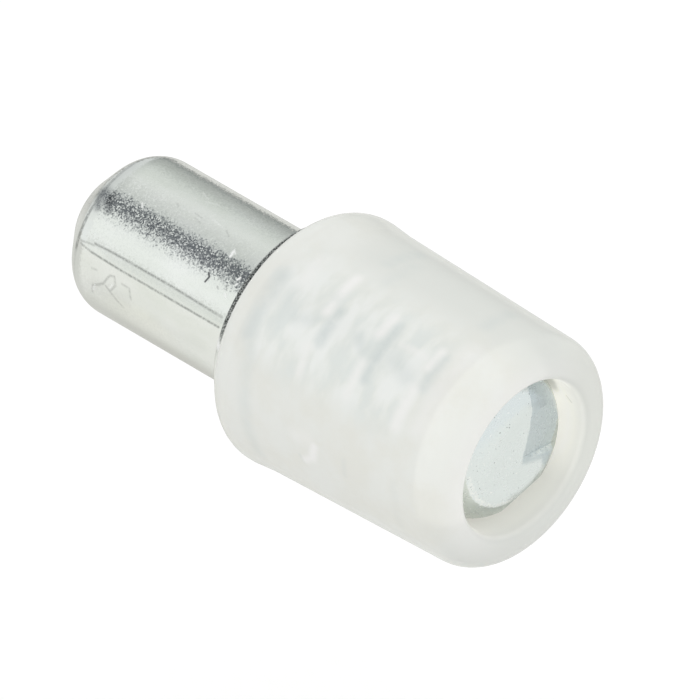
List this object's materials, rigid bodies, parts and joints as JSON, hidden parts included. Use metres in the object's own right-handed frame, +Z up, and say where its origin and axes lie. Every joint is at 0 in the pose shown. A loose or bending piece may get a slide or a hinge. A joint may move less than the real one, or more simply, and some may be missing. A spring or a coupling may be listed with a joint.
{
  "type": "shelf support pin",
  "caption": "Shelf support pin: a steel shank with a tapered tip and a collar, whose ribbed other end wears a frosted plastic sleeve for the shelf to rest on.",
  "frame": {"origin": "on the pin's axis, in the collar's front face, which stops the shank at the cabinet side", "axes": "+X along the pin, from the cabinet side towards the sleeve's free end; -X along the shank; +Z up when the pin is fitted"},
  "size_m": [0.0168, 0.0078, 0.0078],
  "materials": {
    "plated_steel": "bright zinc plating with fine drawing lines",
    "frosted_plastic": "frosted, translucent"
  },
  "bodies": {
    "root": {"steel_pin": "plated_steel", "plastic_sleeve": "frosted_plastic"}
  },
  "joints": []
}
